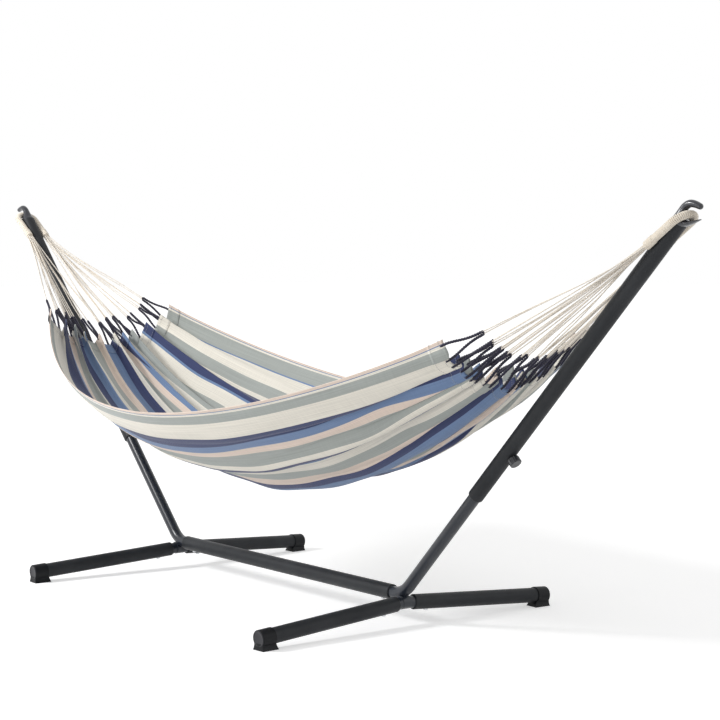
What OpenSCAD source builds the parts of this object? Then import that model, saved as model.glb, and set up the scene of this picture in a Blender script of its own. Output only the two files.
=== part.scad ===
// Hammock on a stand: a steel tube stand with two telescoping arms, and a
// fabric hammock hung by its rope loops from the hooks at the arm tops.
// Millimetres, +Z up, floor at z = 0, X along the hammock, front is -Y.

/* [Tubes] */
// Outside diameter of the beam, legs and upper arms
tube_d = 50; // [46:0.5:56]
// Wall of the beam, legs and upper arms
tube_wall = 1.5; // [1.2:0.1:2.5]
// Outside diameter of the bent lower arms and their cross stubs
inner_d = 40; // [36:0.5:42]
// Wall of the bent lower arms
inner_wall = 2; // [1.5:0.1:3]
// Radius that rounds the swaged tube ends
swage_r = 4; // [2:0.5:4.5]
// Depth that a lower arm or stub is plugged into its tube
plug_len = 110; // [90:1:130]
// Play between a plugged tube and its socket, on the radius
plug_play = 0.1; // [0.05:0.01:0.2]
// Play between a telescoping arm and the tube in it, on the radius
slide_play = 0.05; // [0.02:0.01:0.1]

/* [Base] */
// Distance between the two points where the beam and arm axes cross
bend_span = 1312; // [1200:2:1400]
// Height of the beam axis over the floor
beam_z = 98; // [94:1:110]
// How far the bend of the lower arm swells over its straight parts
bend_step = 0.2; // [0.1:0.05:0.5]
// Radius of the bend in the lower arm
bend_r = 110; // [90:1:130]
// Distance from the beam end to where the bend starts
beam_gap = 4; // [2:0.5:10]
// Drop of the leg axes below the beam axis at the hub
hub_drop = 25; // [23:0.5:28]
// Distance of the hub outwards of the axes' crossing
hub_out = 4; // [0:0.5:8]
// Length of the sleeve that joins the two stubs of one hub
hub_sleeve = 32; // [26:1:40]
// Thickness of that sleeve over the stubs
hub_sleeve_t = 2; // [1.5:0.1:3]
// Half of the gap between the two legs of one hub
leg_start = 34; // [30:1:40]
// Distance from the hub centre to the outer end of a leg with its foot
leg_reach = 602; // [520:1:650]
// Angle at which the legs fall towards their feet
leg_droop = 3.6; // [3:0.1:4]
// Angle at which the legs spread outwards
leg_splay = 3.2; // [0:0.1:6]

/* [Feet] */
// Outside diameter of a foot cap
cap_d = 56; // [54:0.5:60]
// Length of a foot cap along its leg
cap_len = 50; // [44:1:60]
// Thickness of the closed end of a foot cap
cap_end = 6; // [4:0.5:8]
// Width of the foot block at the floor
foot_w = 50; // [44:1:56]
// Length of the foot block at the floor
foot_len = 62; // [54:1:70]
// Length of the foot block where it meets the cap
foot_top_len = 46; // [42:1:48]
// Radius of the hollow down each side of the foot block
foot_hollow_r = 26; // [18:1:40]

/* [Arms] */
// Angle of the arms over the floor
arm_angle = 46.2; // [44:0.1:48]
// Distance along the arm from the axes' crossing to the arm tube's lower end
arm_start = 494; // [440:1:520]
// Length of the upper arm tube
arm_len = 1172; // [1100:1:1200]
// Overlap of the lower arm inside the upper arm tube
arm_overlap = 306; // [270:1:340]
// Length of the narrowed bore at the upper arm's lower end
arm_neck = 60; // [40:1:80]
// Slant of the upper arm's top end
mouth_slant = 21.8; // [15:0.1:24]
// Length of the guide bush at the top of the lower arm
bush_len = 30; // [20:1:40]

/* [Clamp knobs] */
// Distance from the upper arm's lower end to the clamp knob
knob_up = 211; // [180:1:225]
// Diameter of the clamp knob
knob_d = 38; // [32:0.5:44]
// Thickness of the clamp knob
knob_len = 22; // [18:0.5:26]
// Number of flutes round the clamp knob
knob_flutes = 10; // [6:1:14]
// Radius of a flute
flute_r = 3; // [2:0.1:4]
// Diameter of the clamp screw
clamp_screw_d = 8; // [6:0.5:8]
// Outside diameter of the insert's flange
insert_flange_d = 15; // [13:0.5:18]
// Thickness of the insert's flange over the tube
insert_flange = 1.5; // [1:0.1:2.5]

/* [Screws] */
// Diameter of the frame screws
screw_d = 8; // [6:0.5:9]
// Diameter of the frame screws' heads
screw_head_d = 15; // [13:0.5:17]
// Height of the frame screws' heads
screw_head_h = 5; // [4:0.1:6]
// Distance from the leg's inner end to its screw
leg_screw_in = 56; // [40:1:70]
// Distance from the beam's end to its screw
beam_screw_in = 50; // [40:1:70]
// Width of the weld nuts
nut_w = 13; // [11.5:0.5:15]
// Thickness of the weld nuts
nut_h = 6.5; // [5:0.1:8]

/* [Hooks] */
// Radius of the hook's gap
gap_r = 17.5; // [16:0.1:18.5]
// Distance of the gap's centre beyond the arm tube's end
gap_up = 42.4; // [40:0.1:48]
// Distance of the gap's centre from the arm's axis, to the outside
gap_out = 16; // [13:0.1:18]
// Radius of the horn's tip
horn_tip_r = 9; // [8:0.5:9.5]
// Distance of the tip's centre beyond the gap's centre, to the outside
horn_tip_out = 8.5; // [7:0.5:10]
// Distance of the tip's centre beyond the gap's centre, along the arm
horn_tip_up = 38; // [36:0.5:40]
// Distance of the lip's edge beyond the gap's centre, to the outside
lip_out = 36.4; // [34:0.2:38]
// Distance of the lip's edge beyond the gap's centre, along the arm
lip_up = 14.6; // [13:0.2:16]
// Width of the hook's horn
horn_w = 22; // [18:0.5:24]
// Width of the hook's lower lip
lip_w = 24; // [20:0.5:26]
// Length of the hook's spigot in the arm tube
spigot_len = 60; // [40:1:80]
// Thickness of the collar on the arm tube's end
collar_t = 4; // [3:0.1:6]

/* [Hammock] */
// Height of the hammock's lowest line at its middle
bed_low = 400; // [360:1:440]
// Distance of the fabric's end hems from the middle
hem_x = 1150; // [1100:1:1200]
// Half the width of the hammock at its middle
mid_half = 620; // [500:1:680]
// Half the width of the gathered fabric at its end hems
hem_half = 270; // [220:1:300]
// Height of the edges over the lowest line at the middle
mid_rise = 270; // [200:1:320]
// Height of the edges over the lowest line at the hems
hem_rise = 100; // [60:1:120]
// Number of main folds across the hammock
fold_count = 10; // [8:1:12]
// Depth of the folds at the hems
fold_h = 34; // [20:1:40]
// Share of that depth that is left at the middle
fold_rest = 0.2; // [0.1:0.05:0.4]
// Unevenness of the folds' widths, as a share of a fold
fold_drift = 0.25; // [0:0.05:0.3]
// Thickness that stands for the gathered fabric
bed_t = 4; // [3:0.5:8]
// Number of suspension cords at each end
cord_count = 20; // [16:2:22]
// Diameter of a suspension cord
cord_d = 4; // [3:0.1:4.2]
// Diameter of the whipping cord
whip_d = 6; // [4.5:0.1:7]
// Length of a whipping
whip_len = 140; // [100:1:160]
// Diameter of the wrapped rope loops
loop_d = 24; // [20:0.5:25]
// Distance from the middle of a loop's bight to its two ends
loop_len = 150; // [140:1:180]
// Angle at which the loops are pulled down from the hooks
loop_angle = 35; // [32:0.5:38]
// Distance from the tube's side to a loop's leg
loop_clear = 1; // [0.4:0.1:2]
// Distance of the label from the left hem, along the front edge
tag_x = 60; // [30:1:120]
// Length of the label at the hammock's edge
tag_len = 48; // [30:1:60]
// Width of the label that stands out of the edge
tag_w = 22; // [15:1:30]
// Thickness of the label
tag_t = 1.6; // [1:0.1:2]

/* [Hidden] */
$fn = 64;
small = 0.3;       // clearance between pieces that only rest together
fit = 0.05;        // clearance on the radius round screws and threads
lap = 1;           // how far solids of one piece reach into each other
plug_gap = 1;      // room between a plug's end and the end of its socket
hole_play = 0.2;   // clearance on the radius in screw holes
screw_past = 2;    // how far a screw's tip stands out of its nut
head_sink = 2;     // how far a head's rim curves down round its tube
edge_r = 3;        // rounding of the edges of foot caps and knobs
foot_waist = 5;    // depth of the hollow down each side of a foot block
foot_slope = 1;    // how far a foot block's outer face leans inwards
bush_wall = 4;     // wall of the guide bush
insert_rim = 2;    // how far an insert's flange stands over its barrel
tube_r = tube_d / 2;
tube_in_r = tube_r - tube_wall;
inner_r = inner_d / 2;
inner_in_r = inner_r - inner_wall;
bend_x = bend_span / 2;
bend_t = bend_r * tan(arm_angle / 2);   // from the crossing to the bend's ends
bend_lap = sqrt(bend_r * bend_step);    // how far a straight part reaches into the bend
beam_end = bend_x - bend_t - beam_gap;
hub_x = bend_x + hub_out;
hub_z = beam_z - hub_drop;
arm_end = arm_start + arm_len;
inner_end = arm_start + arm_overlap;
knob_s = arm_start + knob_up;
leg_end = leg_reach - cap_end - plug_gap;   // end of the leg tube inside its cap
hole_r = screw_d / 2 + hole_play;

// Points of an arm's plane, from distances along the arm and to its outside
function arm_pt(s, out) = [
    bend_x + s * cos(arm_angle) + out * sin(arm_angle), 0,
    beam_z + s * sin(arm_angle) - out * cos(arm_angle)];

// The loop's rope lies at the back of the hook's gap
loop_r = loop_d / 2;
loop_half = tube_r + loop_r + loop_clear;     // half the width of the loop
hug = loop_half - sqrt(pow(loop_half, 2) - pow(lip_w / 2, 2));
gap_c = arm_pt(arm_end + gap_up, gap_out);
bight = [gap_c.x - gap_r + loop_r + hug + 2 * small, 0, gap_c.z];
pull = [-cos(loop_angle), 0, -sin(loop_angle)];
loop_tip = bight + loop_len * pull;
row_gap = 1;                                  // half the room between the cords' two rows

// The fabric's lowest line runs straight on into its cords
cord_run = loop_tip.x - hem_x;
line_k = (loop_tip.z - bed_low) / (hem_x * hem_x + 2 * hem_x * cord_run);
function bed_fall(x) = 1 - pow(x / hem_x, 2);
function bed_half(x) = hem_half + (mid_half - hem_half) * bed_fall(x);
function bed_rise(x) = hem_rise + (mid_rise - hem_rise) * bed_fall(x);
fold_mean = 2 / PI;                           // mean of the folds' rounded profile
fold_turns = 5;                               // how often wide and narrow folds change

// Point of the fabric at x, t folds from its front edge
function bed_pt(x, t) =
    let (hem = abs(x) / hem_x,
        drift = fold_drift * hem * sin(180 * fold_turns * t / fold_count),
        u = 2 / fold_count * (t + drift) - 1,
        depth = fold_h * (fold_rest + (1 - fold_rest) * pow(hem, 1.5)))
    [x, bed_half(x) * u,
        bed_low + line_k * x * x + bed_rise(x) * u * u + depth * (fold_mean - abs(sin(180 * t)))];

// Place of cord number i along the hem, in folds
function hem_t(i) = (i + 0.5) * fold_count / cord_count;

// Runs a child along the line from a to b, as its own +Z
module along(a, b) {
    d = b - a;
    translate(a)
        rotate([0, acos(d.z / norm(d)), atan2(d.y, d.x)])
            children();
}

module rod(a, b, r) {
    along(a, b) cylinder(r = r, h = norm(b - a), $fn = 24);
}

module on_arm() {
    translate([bend_x, 0, beam_z]) rotate([0, 90 - arm_angle, 0]) children();
}

module on_leg() {
    translate([hub_x, 0, hub_z]) rotate([0, 90 + leg_droop, leg_splay - 90]) children();
}

module left() {
    mirror([1, 0, 0]) children();
}

module rear() {
    mirror([0, 1, 0]) children();
}

// Copies of a child at the four leg places
module four() {
    children();
    rear() children();
    left() children();
    left() rear() children();
}

// A tube whose end at z = 0 is swaged down to a socket for a smaller tube
module socket_tube(len, depth, bore_r) {
    rotate_extrude() {
        difference() {
            union() {
                translate([0, swage_r]) square([tube_r, len - swage_r]);
                square([tube_r - swage_r, 2 * swage_r]);
                translate([tube_r - swage_r, swage_r]) circle(r = swage_r);
            }
            translate([0, -lap]) square([bore_r, depth + 2 * lap]);
            translate([0, depth]) square([tube_in_r, len]);
        }
    }
}

// A pan-head screw along +X, its head seated on a tube of radius tube_r
module pan_screw(tip) {
    difference() {
        translate([tube_r - head_sink, 0, 0]) rotate([0, 90, 0]) {
            rotate_extrude() {
                intersection() {
                    square([screw_head_d / 2, screw_head_h + head_sink]);
                    translate([0, screw_head_h + head_sink - screw_head_d])
                        circle(r = screw_head_d);
                }
            }
        }
        translate([0, 0, -screw_head_d]) cylinder(r = tube_r + fit, h = 2 * screw_head_d);
    }
    translate([tip, 0, 0]) rotate([0, 90, 0])
        cylinder(d = screw_d - 2 * fit, h = tube_r + lap - tip);
}

// A weld nut along +X, curved to seat inside a lower arm or stub
module weld_nut() {
    difference() {
        intersection() {
            translate([inner_in_r - nut_h, 0, 0]) rotate([0, 90, 0])
                cylinder(d = nut_w, h = nut_h, $fn = 6);
            translate([0, 0, -nut_w]) cylinder(r = inner_in_r - fit, h = 2 * nut_w);
        }
        rotate([0, 90, 0]) cylinder(d = screw_d, h = tube_d);
    }
}

module screw_hole() {
    rotate([0, 90, 0]) cylinder(r = hole_r, h = tube_d);
}

module base_beam() {
    color("dimgray") difference() {
        for (m = [0, 1]) mirror([m, 0, 0])
            translate([beam_end, 0, beam_z]) rotate([0, -90, 0])
                socket_tube(beam_end, plug_len, inner_r + plug_play);
        for (m = [0, 1]) mirror([m, 0, 0])
            translate([beam_end - beam_screw_in, 0, beam_z]) rotate([0, 90, 0]) screw_hole();
    }
}

// A bent rod: straight for back, round the bend, then straight for up
module bent_rod(r, back, up) {
    translate([bend_x - bend_t, 0, beam_z + bend_r]) rotate([90, 0, 0]) {
        translate([bend_lap, -bend_r, 0]) rotate([0, -90, 0])
            cylinder(r = r, h = back + bend_lap);
        rotate([0, 0, -90])
            rotate_extrude(angle = arm_angle) translate([bend_r, 0]) circle(r = r + bend_step);
        rotate([0, 0, arm_angle - 90]) translate([bend_r, -bend_lap, 0]) rotate([-90, 0, 0])
            cylinder(r = r, h = up + bend_lap);
    }
}

// The bent tube that plugs into the beam and carries the upper arm
module lower_arm() {
    color("darkslategray") difference() {
        bent_rod(inner_r, plug_len - plug_gap + beam_gap, inner_end - bend_t);
        bent_rod(inner_in_r, plug_len + beam_gap, inner_end);
        translate([beam_end - beam_screw_in, 0, beam_z]) rotate([0, 90, 0]) screw_hole();
    }
}

// Two stubs and their sleeve, cut to sit under the bend, where they are welded
module cross_stub() {
    color("darkslategray") difference() {
        union() {
            translate([hub_x, -hub_sleeve / 2, hub_z]) rotate([-90, 0, 0])
                cylinder(r = inner_r + hub_sleeve_t, h = hub_sleeve);
            for (m = [0, 1]) mirror([0, m, 0]) on_leg() translate([0, 0, hub_sleeve / 4])
                cylinder(r = inner_r, h = leg_start + plug_len - plug_gap - hub_sleeve / 4);
        }
        for (m = [0, 1]) mirror([0, m, 0]) on_leg() {
            translate([0, 0, hub_sleeve]) cylinder(r = inner_in_r, h = leg_start + plug_len);
            translate([0, 0, leg_start + leg_screw_in]) screw_hole();
        }
        bent_rod(inner_r + fit, bend_r, bend_r);
    }
}

module leg() {
    color("dimgray") on_leg() difference() {
        translate([0, 0, leg_start])
            socket_tube(leg_end - leg_start, plug_len, inner_r + plug_play);
        translate([0, 0, leg_start + leg_screw_in]) screw_hole();
    }
}

// A cap over the leg's end, with the block that stands on the floor
module foot() {
    cap_r = cap_d / 2;
    cap_start = leg_reach - cap_len;
    centre = leg_reach - cap_len / 2;
    mid = hub_z - centre * sin(leg_droop);
    outer = cap_len / 2 + foot_slope;
    color("#1c2024") difference() {
        union() {
            on_leg() translate([0, 0, cap_start]) rotate_extrude() {
                square([cap_r - edge_r, cap_len]);
                square([cap_r, cap_len - edge_r]);
                translate([cap_r - edge_r, cap_len - edge_r]) circle(r = edge_r);
            }
            translate([hub_x, 0, 0]) rotate([0, 0, leg_splay - 90])
                translate([centre * cos(leg_droop), 0, 0]) intersection() {
                    rotate([90, 0, 0]) translate([0, 0, -foot_w])
                        linear_extrude(2 * foot_w) polygon([
                            [outer - foot_len, 0], [outer, 0],
                            [outer - 2 * foot_slope, mid],
                            [outer - 2 * foot_slope - foot_top_len, mid]]);
                    rotate([90, 0, 90]) translate([0, 0, -foot_len])
                        linear_extrude(2 * foot_len) difference() {
                            translate([-foot_w / 2, 0]) square([foot_w, mid]);
                            for (m = [-1, 1])
                                translate([m * (foot_w / 2 + foot_hollow_r - foot_waist), mid * 0.45])
                                    circle(r = foot_hollow_r);
                        }
                }
        }
        on_leg() translate([0, 0, cap_start - cap_len])
            cylinder(r = tube_r + plug_play, h = 2 * cap_len - cap_end);
    }
}

module leg_screws() {
    color("silver") four() on_leg() translate([0, 0, leg_start + leg_screw_in])
        pan_screw(inner_in_r - nut_h - screw_past);
}

module leg_nuts() {
    color("gray") four() on_leg() translate([0, 0, leg_start + leg_screw_in]) weld_nut();
}

module at_beam_screws() {
    for (m = [0, 1]) mirror([m, 0, 0])
        translate([beam_end - beam_screw_in, 0, beam_z]) rotate([0, 90, 0]) children();
}

module beam_screws() {
    color("silver") at_beam_screws() pan_screw(inner_in_r - nut_h - screw_past);
}

module beam_nuts() {
    color("gray") at_beam_screws() weld_nut();
}

// Plastic plug in the lower arm's top end that guides it in the upper arm
module guide_bush() {
    color("black") on_arm() difference() {
        union() {
            translate([0, 0, inner_end - bush_len])
                cylinder(r = inner_in_r - fit, h = bush_len);
            translate([0, 0, inner_end]) cylinder(r = tube_in_r - slide_play, h = bush_len);
        }
        translate([0, 0, inner_end - bush_len - lap])
            cylinder(r = inner_in_r - bush_wall, h = 2 * (bush_len + lap));
    }
}

// Turns a child to the slanted plane of the arm tube's top end
module at_mouth() {
    translate([0, 0, arm_end]) rotate([0, -mouth_slant, 0]) children();
}

module upper_arm() {
    over = tube_d * tan(mouth_slant);
    color("dimgray") on_arm() difference() {
        translate([0, 0, arm_start])
            socket_tube(arm_len + over, arm_neck, inner_r + slide_play);
        at_mouth() translate([-tube_d, -tube_d, 0]) cube([2 * tube_d, 2 * tube_d, 2 * over + tube_d]);
        translate([0, 0, knob_s]) rotate([0, 90, 0])
            cylinder(d = insert_flange_d - 2 * insert_rim + 2 * fit, h = tube_d);
    }
}

// Threaded insert in the arm's wall for the clamp screw
module clamp_insert() {
    color("gray") on_arm() translate([0, 0, knob_s]) difference() {
        rotate([0, 90, 0]) union() {
            translate([0, 0, inner_r + slide_play + lap])
                cylinder(d = insert_flange_d - 2 * insert_rim, h = tube_r - inner_r);
            translate([0, 0, tube_r - head_sink])
                cylinder(d = insert_flange_d, h = head_sink + insert_flange);
        }
        difference() {
            translate([0, 0, -tube_d]) cylinder(r = tube_r + fit, h = 2 * tube_d);
            rotate([0, 90, 0]) cylinder(d = insert_flange_d - 2 * insert_rim, h = tube_d);
        }
        rotate([0, 90, 0]) cylinder(d = clamp_screw_d, h = 2 * tube_d);
    }
}

module clamp_knob() {
    base = tube_r + insert_flange + small;
    color("#303236") on_arm() translate([0, 0, knob_s]) rotate([0, 90, 0]) {
        translate([0, 0, base]) difference() {
            rotate_extrude() {
                square([knob_d / 2 - edge_r, knob_len]);
                translate([0, edge_r]) square([knob_d / 2, knob_len - 2 * edge_r]);
                for (h = [edge_r, knob_len - edge_r])
                    translate([knob_d / 2 - edge_r, h]) circle(r = edge_r);
            }
            for (i = [0 : knob_flutes - 1]) rotate([0, 0, i * 360 / knob_flutes])
                translate([knob_d / 2 + flute_r / 3, 0, -lap])
                    cylinder(r = flute_r, h = knob_len + 2 * lap);
        }
        translate([0, 0, inner_r + small])
            cylinder(d = clamp_screw_d - 2 * fit, h = base - inner_r + lap);
    }
}

// Points of an arc round c, from angle a to angle b
function arc(c, r, a, b, steps = 12) =
    [for (i = [0 : steps]) let (w = a + (b - a) * i / steps) c + r * [cos(w), sin(w)]];

// Side views of the hook: x to the outside, y along the arm from the tube's end
gap_at = [gap_out, gap_up];
mouth = tan(mouth_slant) * tube_r;      // how far the slant moves the tube's edges
horn_back = tube_r - 2 * small;         // how far the horn reaches to the inside
back_at = gap_at - [11, 0];             // centre of the rounding of the horn's back
horn_turn = 122;                        // direction in which the back runs into the tip
gap_turn = 118;                         // direction of the horn's end of the gap
horn_tip = gap_at + [horn_tip_out, horn_tip_up];
lip_edge = gap_at + [lip_out, lip_up];
lip_face = [-1.5, 1.2];                 // the lip's blunt edge, from its outer corner
lip_heel = [5.5, 4];                    // the lip's underside, from the tube's outer edge
lip_root = 3;                           // how far the lip reaches under the gap

module horn_side() {
    polygon(concat(
        [[-horn_back, lap - mouth]],
        arc(back_at, back_at.x + horn_back, 180, horn_turn),
        arc(horn_tip, horn_tip_r, horn_turn + 1, horn_turn - 175),
        [gap_at + (gap_r - lap) * [cos(gap_turn), sin(gap_turn)],
            gap_at, gap_at + [6, -gap_r - 3], [tube_r - 3, mouth + lap]]));
}

// The lip under the gap, from the collar to its thin edge
module lip_side() {
    polygon([
        [-lip_root, 2], gap_at + [-lip_root, 2 - gap_r], gap_at + gap_r * [0.7, -0.65],
        lip_edge + lip_face, lip_edge, [tube_r, mouth] + lip_heel, [tube_r - 2, mouth + lap]]);
}

module hook() {
    color("#2b3038") on_arm() {
        translate([0, 0, arm_end]) rotate([90, 0, 0]) difference() {
            union() {
                translate([0, 0, -horn_w / 2]) linear_extrude(horn_w) horn_side();
                translate([0, 0, -lip_w / 2]) linear_extrude(lip_w) lip_side();
            }
            translate([gap_out, gap_up, -lip_w]) cylinder(r = gap_r, h = 2 * lip_w);
        }
        intersection() {
            translate([0, 0, arm_end - tube_d]) cylinder(r = tube_r, h = 2 * tube_d);
            at_mouth() translate([-tube_d, -tube_d, 0])
                cube([2 * tube_d, 2 * tube_d, collar_t]);
        }
        difference() {
            translate([0, 0, arm_end - spigot_len])
                cylinder(r = tube_in_r - plug_play, h = spigot_len + tube_r);
            at_mouth() translate([-tube_d, -tube_d, collar_t / 2]) cube(2 * tube_d);
        }
    }
}

// A closed tube round a path that lies in a plane of normal flat; its two ends
// are cut along the slanting direction cut
module tube_along(path, r, flat, cut, sides = 16) {
    n = len(path);
    points = [for (i = [0 : n - 1])
        let (t = path[min(i + 1, n - 1)] - path[max(i - 1, 0)], out = cross(t / norm(t), flat),
            up = i == 0 || i == n - 1 ? cut : flat)
        for (j = [0 : sides - 1])
            path[i] + r * (cos(360 * j / sides) * out + sin(360 * j / sides) * up)];
    walls = [for (i = [0 : n - 2], j = [0 : sides - 1])
        let (k = (j + 1) % sides, a = i * sides, b = a + sides)
        each [[a + j, b + j, b + k], [a + j, b + k, a + k]]];
    polyhedron(points = points, faces = concat(walls, [
        [for (j = [0 : sides - 1]) j],
        [for (j = [0 : sides - 1]) n * sides - 1 - j]]));
}

// Rope from one side of the arm tube through the hook's gap to the other side;
// its ends are cut upright, square to the axis that the hammock swings about
module rope_loop() {
    turn = bight + loop_half * pull;
    side = [0, loop_half, 0];
    path = concat(
        [loop_tip - side],
        [for (w = [-90 : 10 : 90]) turn + sin(w) * side - loop_half * cos(w) * pull],
        [loop_tip + side]);
    color("antiquewhite")
        tube_along(path, loop_r, [-pull.z, 0, pull.x], [0, 0, 1 / pull.x]);
}

// Where cord number i leaves the loop's end, in two rows of five; the cord's
// rim stays clear of the end however far the cord leans
function cord_root(i) =
    let (half = cord_count / 2, side = i < half ? -1 : 1, n = i % half,
        seat = loop_tip + [0, side * loop_half + (n - (half - 1) / 2) * (cord_d / 2 + small),
            (n % 2 == 0 ? 1 : -1) * (cord_d / 2 + row_gap)],
        d = hem_end(i) - seat)
    seat - [small + cord_d / 2 * norm([d.y, d.z]) / norm(d), 0, 0];
function hem_end(i) = bed_pt(hem_x, hem_t(i));
function cord_tip(i) =
    let (d = cord_root(i) - hem_end(i)) hem_end(i) + d * whip_len / norm(d);

module cords() {
    color("ivory") for (i = [0 : cord_count - 1])
        rod(cord_root(i), cord_tip(i), cord_d / 2);
}

// Each whipping is a pair of doubled cords, from the cord's end to the hem
module whippings() {
    top = whip_d / 2 + small;       // half the pair's spacing at its cord, in mm
    spread = 0.15;                  // and at the hem, in folds
    color("midnightblue") for (i = [0 : cord_count - 1], m = [-1, 1])
        rod(cord_tip(i) + [0, m * top, 0], bed_pt(hem_x, hem_t(i) + m * spread), whip_d / 2);
}

module hammock_bed() {
    nx = 24;                // cells along the hammock
    cuts = 4;               // cells across one fold
    nu = fold_count * cuts;
    row = nu + 1;
    size = (nx + 1) * row;
    top = [for (i = [0 : nx], j = [0 : nu])
        bed_pt(hem_x * (2 * i / nx - 1), j / cuts) + [0, 0, bed_t / 2]];
    bottom = [for (p = top) p - [0, 0, bed_t]];
    cells = [for (i = [0 : nx - 1], j = [0 : nu - 1]) i * row + j];
    ends = [for (j = [0 : nu - 1]) each [
        [j, j + 1, j + 1 + size], [j, j + 1 + size, j + size],
        [nx * row + j, nx * row + j + size, nx * row + j + 1 + size],
        [nx * row + j, nx * row + j + 1 + size, nx * row + j + 1]]];
    sides = [for (i = [0 : nx - 1]) each [
        [i * row, i * row + size, (i + 1) * row + size],
        [i * row, (i + 1) * row + size, (i + 1) * row],
        [i * row + nu, (i + 1) * row + nu, (i + 1) * row + nu + size],
        [i * row + nu, (i + 1) * row + nu + size, i * row + nu + size]]];
    color("lightsteelblue") polyhedron(points = concat(top, bottom), faces = concat(
        [for (c = cells) each [[c, c + row, c + row + 1], [c, c + row + 1, c + 1]]],
        [for (c = cells) each [
            [c + size, c + row + 1 + size, c + row + size],
            [c + size, c + 1 + size, c + row + 1 + size]]],
        ends, sides));
}

// A bare label sewn to the front edge near the left end
module edge_label() {
    from = bed_pt(tag_x - hem_x, 0);
    to = bed_pt(tag_x + tag_len - hem_x, 0);
    color("#16171a") along(from, to)
        translate([-tag_t / 2, -tag_w / 2, 0]) cube([tag_t, tag_w, tag_len]);
}

base_beam();
left() lower_arm();  // left_lower_arm
lower_arm();  // right_lower_arm
left() cross_stub();  // left_cross_stub
cross_stub();  // right_cross_stub
left() leg();  // left_front_leg
left() rear() leg();  // left_rear_leg
leg();  // right_front_leg
rear() leg();  // right_rear_leg
left() foot();  // left_front_foot
left() rear() foot();  // left_rear_foot
foot();  // right_front_foot
rear() foot();  // right_rear_foot
leg_screws();
leg_nuts();
beam_screws();
beam_nuts();
left() guide_bush();  // left_guide_bush
guide_bush();  // right_guide_bush
left() upper_arm();  // left_upper_arm
upper_arm();  // right_upper_arm
left() clamp_insert();  // left_clamp_insert
clamp_insert();  // right_clamp_insert
left() clamp_knob();  // left_clamp_knob
clamp_knob();  // right_clamp_knob
left() hook();  // left_hook
hook();  // right_hook
left() rope_loop();  // left_rope_loop
rope_loop();  // right_rope_loop
left() cords();  // left_cords
cords();  // right_cords
left() whippings();  // left_whippings
whippings();  // right_whippings
hammock_bed();
edge_label();
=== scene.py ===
import math
import bpy
import bmesh
import numpy as np
from mathutils import Matrix, Vector


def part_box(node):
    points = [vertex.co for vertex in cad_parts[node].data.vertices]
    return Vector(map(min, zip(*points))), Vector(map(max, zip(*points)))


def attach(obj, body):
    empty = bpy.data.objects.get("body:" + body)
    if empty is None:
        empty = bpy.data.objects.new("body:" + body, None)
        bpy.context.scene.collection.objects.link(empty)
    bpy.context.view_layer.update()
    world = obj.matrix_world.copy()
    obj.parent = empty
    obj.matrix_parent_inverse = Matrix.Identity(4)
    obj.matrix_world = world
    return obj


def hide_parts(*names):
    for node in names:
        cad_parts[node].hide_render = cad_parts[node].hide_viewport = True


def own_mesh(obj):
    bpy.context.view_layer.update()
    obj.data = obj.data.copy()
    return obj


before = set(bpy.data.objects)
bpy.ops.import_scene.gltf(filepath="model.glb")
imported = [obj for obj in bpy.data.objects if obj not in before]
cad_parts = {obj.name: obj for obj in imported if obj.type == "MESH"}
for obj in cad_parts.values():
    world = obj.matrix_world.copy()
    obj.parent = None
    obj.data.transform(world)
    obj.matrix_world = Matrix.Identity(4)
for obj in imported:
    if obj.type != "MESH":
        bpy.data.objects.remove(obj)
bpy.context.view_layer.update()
print("stage: frame loaded,", len(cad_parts), "nodes")

scene = bpy.context.scene
scene.view_settings.view_transform = "Standard"


def unit(v):
    v = np.asarray(v, float)
    return v / np.maximum(np.linalg.norm(v, axis=-1, keepdims=True), 1e-12)


def smooth(a, b, x):  # 0 below a, 1 above b
    t = np.clip((np.asarray(x, float) - a) / (b - a), 0, 1)
    return t * t * (3 - 2 * t)


def feed(tree, socket, value):  # a plain value, or a link from another node
    if isinstance(value, bpy.types.NodeSocket):
        tree.links.new(value, socket)
    else:
        socket.default_value = value


def mathNode(tree, kind, *values):
    node = tree.nodes.new("ShaderNodeMath")
    node.operation = kind
    for socket, value in zip(node.inputs, values):
        feed(tree, socket, value)
    return node.outputs[0]


def spread(tree, value, low, high, fromLow=0.3, fromHigh=0.7):  # maps one range of values to another
    node = tree.nodes.new("ShaderNodeMapRange")
    node.inputs["From Min"].default_value = fromLow
    node.inputs["From Max"].default_value = fromHigh
    node.inputs["To Min"].default_value = low
    node.inputs["To Max"].default_value = high
    tree.links.new(value, node.inputs["Value"])
    return node.outputs[0]


sides = {"left": -1, "right": 1}

# where the hammock hangs, in metres, with the sizes of its CAD solids
hang = {
    "hemX": 1.15, "bedLow": 0.40, "hemHalf": 0.27, "midHalf": 0.62, "hemRise": 0.10, "midRise": 0.27,
    "loopTipX": 1.724177, "loopTipZ": 1.233944, "pullAngle": math.radians(35),
    "biteX": 1.847050, "biteZ": 1.319981, "loopHalf": 0.038, "clothWidth": 1.42,
    "folds": 10, "foldDepth": 0.034, "foldRest": 0.2, "foldDrift": 0.25, "foldTurns": 5,
}
hemX = hang["hemX"]
lineK = (hang["loopTipZ"] - hang["bedLow"]) / (hemX ** 2 + 2 * hemX * (hang["loopTipX"] - hemX))


# camera and studio

view = {"place": (5.350, -3.9365, 1.2770), "yaw": 51.37, "pitch": -3.94, "roll": 0.43, "lens": 95.9}


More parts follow.
